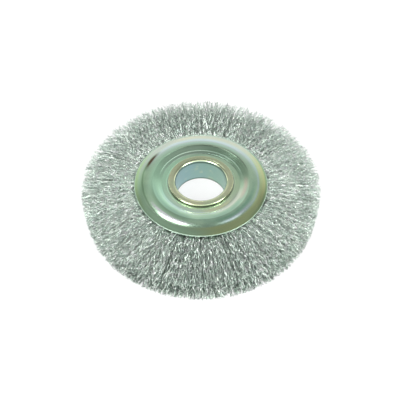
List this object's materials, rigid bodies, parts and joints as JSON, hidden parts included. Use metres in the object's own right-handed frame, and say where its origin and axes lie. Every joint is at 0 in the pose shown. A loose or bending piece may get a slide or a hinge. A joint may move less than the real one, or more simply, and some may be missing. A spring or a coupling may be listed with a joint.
{
  "type": "crimped wire wheel brush",
  "caption": "Round wheel brush: crimped steel wires held between two dished zinc-plated side plates on a rolled hub sleeve.",
  "frame": {"origin": "on the ground under the wheel's axis, at the level of the rear lip that the wheel lies on", "axes": "+Z along the bore, from the rear side plate to the front one"},
  "size_m": [0.15, 0.15, 0.018],
  "materials": {
    "side_plate": "stamped steel, zinc plated, green and yellow passivated, glossy",
    "hub_sleeve": "rolled steel tube, zinc plated, yellow passivated, glossy",
    "core_ring": "plain drawn steel wire",
    "wire": "bright crimped steel wire"
  },
  "bodies": {
    "root": {"front_plate": "side_plate", "rear_plate": "side_plate", "hub_sleeve": "hub_sleeve", "core_ring": "core_ring", "wire_hank_01": "wire", "wire_hank_02": "wire", "wire_hank_03": "wire", "wire_hank_04": "wire", "wire_hank_05": "wire", "wire_hank_06": "wire", "wire_hank_07": "wire", "wire_hank_08": "wire", "wire_hank_09": "wire", "wire_hank_10": "wire", "wire_hank_11": "wire", "wire_hank_12": "wire", "wire_hank_13": "wire", "wire_hank_14": "wire", "wire_hank_15": "wire", "wire_hank_16": "wire", "wire_hank_17": "wire", "wire_hank_18": "wire", "wire_hank_19": "wire", "wire_hank_20": "wire", "wire_hank_21": "wire", "wire_hank_22": "wire", "wire_hank_23": "wire", "wire_hank_24": "wire", "wire_hank_25": "wire", "wire_hank_26": "wire", "wire_hank_27": "wire", "wire_hank_28": "wire", "wire_hank_29": "wire", "wire_hank_30": "wire", "wire_hank_31": "wire", "wire_hank_32": "wire", "wire_hank_33": "wire", "wire_hank_34": "wire", "wire_hank_35": "wire", "wire_hank_36": "wire"}
  },
  "joints": []
}
